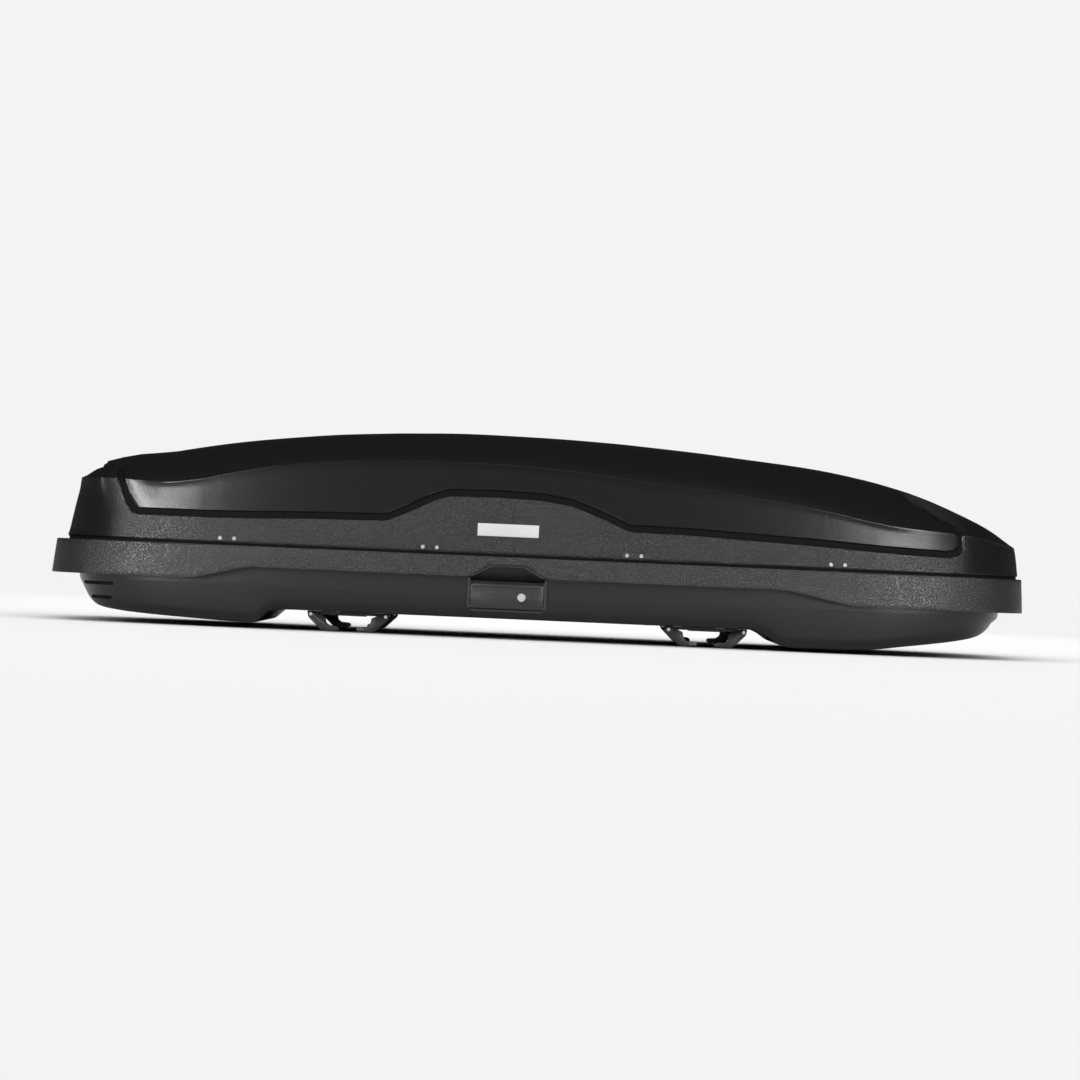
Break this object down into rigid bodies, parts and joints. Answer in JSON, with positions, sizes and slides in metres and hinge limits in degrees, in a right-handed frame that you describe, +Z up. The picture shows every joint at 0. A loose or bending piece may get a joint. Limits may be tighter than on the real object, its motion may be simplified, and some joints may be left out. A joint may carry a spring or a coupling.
{
  "type": "roof cargo box",
  "caption": "Hard-shell roof cargo box that opens from either side, with lid struts, latches and four crossbar clamps.",
  "frame": {"origin": "middle of the box in plan, at the lowest point of the clamp claws", "axes": "+X towards the nose, +Y to the left side, +Z up"},
  "size_m": [2.31, 0.912, 0.4818],
  "materials": {
    "base_shell": "textured",
    "lid_shell": "textured",
    "handle_plastic": "satin",
    "badge": "satin",
    "lock_chrome": "polished",
    "clamp_plastic": "fine texture",
    "claw_plastic": "satin",
    "pad_rubber": "matt",
    "strut_paint": "satin",
    "bright_steel": "bright",
    "plated_steel": "zinc plated"
  },
  "bodies": {
    "base": {"base_shell": "base_shell", "hinge_cradles_left": "plated_steel", "hinge_cradles_right": "plated_steel", "cradle_rivets_left": "bright_steel", "cradle_rivets_right": "bright_steel", "handle_housing_left": "handle_plastic", "handle_housing_right": "handle_plastic", "handle_pin_left": "plated_steel", "handle_pin_right": "plated_steel", "clamp_tracks": "plated_steel", "track_rivets": "bright_steel", "strut_base_studs": "plated_steel"},
    "lid": {"lid_shell": "lid_shell", "lid_brackets_left": "plated_steel", "lid_brackets_right": "plated_steel", "hinge_pins_left": "plated_steel", "lid_rivets_left": "bright_steel", "lid_rivets_right": "bright_steel", "badge_plate_left": "badge", "badge_plate_right": "badge", "strut_lid_studs": "plated_steel"},
    "right_hinge_line": {"hinge_pins_right": "plated_steel"},
    "latch_left": {"latch_rail_left": "plated_steel"},
    "latch_right": {"latch_rail_right": "plated_steel"},
    "paddle_left": {"handle_paddle_left": "handle_plastic"},
    "paddle_right": {"handle_paddle_right": "handle_plastic"},
    "lock_left": {"lock_cylinder_left": "lock_chrome"},
    "lock_right": {"lock_cylinder_right": "lock_chrome"},
    "strut_outer_front": {"strut_tube_front": "strut_paint"},
    "strut_outer_rear": {"strut_tube_rear": "strut_paint"},
    "strut_inner_front": {"strut_rod_front": "bright_steel"},
    "strut_inner_rear": {"strut_rod_rear": "bright_steel"},
    "clamp_front_left": {"clamp_body_front_left": "clamp_plastic", "claw_pins_front_left": "plated_steel", "bar_pad_front_left": "pad_rubber"},
    "knob_front_left": {"clamp_knob_front_left": "clamp_plastic", "clamp_screw_front_left": "plated_steel"},
    "front_claw_front_left": {"claw_front_of_front_left": "claw_plastic"},
    "back_claw_front_left": {"claw_back_of_front_left": "claw_plastic"},
    "clamp_front_right": {"clamp_body_front_right": "clamp_plastic", "claw_pins_front_right": "plated_steel", "bar_pad_front_right": "pad_rubber"},
    "knob_front_right": {"clamp_knob_front_right": "clamp_plastic", "clamp_screw_front_right": "plated_steel"},
    "front_claw_front_right": {"claw_front_of_front_right": "claw_plastic"},
    "back_claw_front_right": {"claw_back_of_front_right": "claw_plastic"},
    "clamp_rear_left": {"clamp_body_rear_left": "clamp_plastic", "claw_pins_rear_left": "plated_steel", "bar_pad_rear_left": "pad_rubber"},
    "knob_rear_left": {"clamp_knob_rear_left": "clamp_plastic", "clamp_screw_rear_left": "plated_steel"},
    "front_claw_rear_left": {"claw_front_of_rear_left": "claw_plastic"},
    "back_claw_rear_left": {"claw_back_of_rear_left": "claw_plastic"},
    "clamp_rear_right": {"clamp_body_rear_right": "clamp_plastic", "claw_pins_rear_right": "plated_steel", "bar_pad_rear_right": "pad_rubber"},
    "knob_rear_right": {"clamp_knob_rear_right": "clamp_plastic", "clamp_screw_rear_right": "plated_steel"},
    "front_claw_rear_right": {"claw_front_of_rear_right": "claw_plastic"},
    "back_claw_rear_right": {"claw_back_of_rear_right": "claw_plastic"}
  },
  "joints": [
    {"name": "right_side_opening", "type": "hinge", "parent": "base", "child": "right_hinge_line", "pos_m": [0, 0.404, 0.218], "axis": [-1, 0, 0], "range_deg": [0, 45]},
    {"name": "left_side_opening", "type": "hinge", "parent": "right_hinge_line", "child": "lid", "pos_m": [0, -0.404, 0.218], "axis": [1, 0, 0], "range_deg": [0, 45]},
    {"name": "handle_pull_left", "type": "hinge", "parent": "base", "child": "paddle_left", "pos_m": [-0.069, 0.419, 0.074], "axis": [-1, 0, 0], "range_deg": [0, 35], "stiffness_Nm_per_rad": 0.4, "springref_deg": -28.65},
    {"name": "latch_travel_left", "type": "slide", "parent": "base", "child": "latch_left", "axis": [1, 0, 0], "range_m": [0, 0.014]},
    {"name": "key_turn_left", "type": "hinge", "parent": "paddle_left", "child": "lock_left", "pos_m": [-0.035, 0.43, 0.098], "axis": [0, 1, 0], "range_deg": [0, 90]},
    {"name": "handle_pull_right", "type": "hinge", "parent": "base", "child": "paddle_right", "pos_m": [-0.069, -0.419, 0.074], "axis": [1, 0, 0], "range_deg": [0, 35], "stiffness_Nm_per_rad": 0.4, "springref_deg": -28.65},
    {"name": "latch_travel_right", "type": "slide", "parent": "base", "child": "latch_right", "axis": [1, 0, 0], "range_m": [0, 0.014]},
    {"name": "key_turn_right", "type": "hinge", "parent": "paddle_right", "child": "lock_right", "pos_m": [-0.035, -0.43, 0.098], "axis": [0, -1, 0], "range_deg": [0, 90]},
    {"name": "front_strut_swing", "type": "hinge", "parent": "base", "child": "strut_outer_front", "pos_m": [0.56, -0.404, 0.218], "axis": [1, 0, 0], "range_deg": [0, 45]},
    {"name": "rear_strut_swing", "type": "hinge", "parent": "base", "child": "strut_outer_rear", "pos_m": [-0.6, 0.404, 0.218], "axis": [-1, 0, 0], "range_deg": [0, 45]},
    {"name": "front_strut_stroke", "type": "slide", "parent": "strut_outer_front", "child": "strut_inner_front", "axis": [0, 0.9654, 0.2607], "range_m": [0, 0.175]},
    {"name": "rear_strut_stroke", "type": "slide", "parent": "strut_outer_rear", "child": "strut_inner_rear", "axis": [0, -0.9654, 0.2607], "range_m": [0, 0.175]},
    {"name": "clamp_slide_front_left", "type": "slide", "parent": "base", "child": "clamp_front_left", "axis": [1, 0, 0], "range_m": [-0.1, 0]},
    {"name": "knob_turn_front_left", "type": "hinge", "parent": "clamp_front_left", "child": "knob_front_left", "pos_m": [0.4, 0.29, 0.08], "axis": [0, 0, 1], "range_deg": [0, 1080]},
    {"name": "front_claw_swing_front_left", "type": "hinge", "parent": "clamp_front_left", "child": "front_claw_front_left", "pos_m": [0.488, 0.29, 0.0375], "axis": [0, -1, 0], "range_deg": [0, 25]},
    {"name": "back_claw_swing_front_left", "type": "hinge", "parent": "clamp_front_left", "child": "back_claw_front_left", "pos_m": [0.312, 0.29, 0.0375], "axis": [0, 1, 0], "range_deg": [0, 25]},
    {"name": "clamp_slide_front_right", "type": "slide", "parent": "base", "child": "clamp_front_right", "axis": [1, 0, 0], "range_m": [-0.1, 0]},
    {"name": "knob_turn_front_right", "type": "hinge", "parent": "clamp_front_right", "child": "knob_front_right", "pos_m": [0.4, -0.29, 0.08], "axis": [0, 0, 1], "range_deg": [0, 1080]},
    {"name": "front_claw_swing_front_right", "type": "hinge", "parent": "clamp_front_right", "child": "front_claw_front_right", "pos_m": [0.488, -0.29, 0.0375], "axis": [0, -1, 0], "range_deg": [0, 25]},
    {"name": "back_claw_swing_front_right", "type": "hinge", "parent": "clamp_front_right", "child": "back_claw_front_right", "pos_m": [0.312, -0.29, 0.0375], "axis": [0, 1, 0], "range_deg": [0, 25]},
    {"name": "clamp_slide_rear_left", "type": "slide", "parent": "base", "child": "clamp_rear_left", "axis": [1, 0, 0], "range_m": [0, 0.1]},
    {"name": "knob_turn_rear_left", "type": "hinge", "parent": "clamp_rear_left", "child": "knob_rear_left", "pos_m": [-0.44, 0.29, 0.08], "axis": [0, 0, 1], "range_deg": [0, 1080]},
    {"name": "front_claw_swing_rear_left", "type": "hinge", "parent": "clamp_rear_left", "child": "front_claw_rear_left", "pos_m": [-0.352, 0.29, 0.0375], "axis": [0, -1, 0], "range_deg": [0, 25]},
    {"name": "back_claw_swing_rear_left", "type": "hinge", "parent": "clamp_rear_left", "child": "back_claw_rear_left", "pos_m": [-0.528, 0.29, 0.0375], "axis": [0, 1, 0], "range_deg": [0, 25]},
    {"name": "clamp_slide_rear_right", "type": "slide", "parent": "base", "child": "clamp_rear_right", "axis": [1, 0, 0], "range_m": [0, 0.1]},
    {"name": "knob_turn_rear_right", "type": "hinge", "parent": "clamp_rear_right", "child": "knob_rear_right", "pos_m": [-0.44, -0.29, 0.08], "axis": [0, 0, 1], "range_deg": [0, 1080]},
    {"name": "front_claw_swing_rear_right", "type": "hinge", "parent": "clamp_rear_right", "child": "front_claw_rear_right", "pos_m": [-0.352, -0.29, 0.0375], "axis": [0, -1, 0], "range_deg": [0, 25]},
    {"name": "back_claw_swing_rear_right", "type": "hinge", "parent": "clamp_rear_right", "child": "back_claw_rear_right", "pos_m": [-0.528, -0.29, 0.0375], "axis": [0, 1, 0], "range_deg": [0, 25]}
  ],
  "couplings": [
    {"joint": "latch_travel_left", "follows": "handle_pull_left", "m_per_rad": 0.02275},
    {"joint": "latch_travel_right", "follows": "handle_pull_right", "m_per_rad": 0.02275},
    {"joint": "front_strut_swing", "follows": "left_side_opening", "ratio": 1},
    {"joint": "rear_strut_swing", "follows": "right_side_opening", "ratio": 1},
    {"joint": "front_strut_stroke", "follows": "right_side_opening", "m_per_rad": 0.22218},
    {"joint": "rear_strut_stroke", "follows": "left_side_opening", "m_per_rad": 0.22218},
    {"joint": "front_claw_swing_front_left", "follows": "knob_turn_front_left", "ratio": 0.023148},
    {"joint": "back_claw_swing_front_left", "follows": "knob_turn_front_left", "ratio": 0.023148},
    {"joint": "front_claw_swing_front_right", "follows": "knob_turn_front_right", "ratio": 0.023148},
    {"joint": "back_claw_swing_front_right", "follows": "knob_turn_front_right", "ratio": 0.023148},
    {"joint": "front_claw_swing_rear_left", "follows": "knob_turn_rear_left", "ratio": 0.023148},
    {"joint": "back_claw_swing_rear_left", "follows": "knob_turn_rear_left", "ratio": 0.023148},
    {"joint": "front_claw_swing_rear_right", "follows": "knob_turn_rear_right", "ratio": 0.023148},
    {"joint": "back_claw_swing_rear_right", "follows": "knob_turn_rear_right", "ratio": 0.023148}
  ]
}
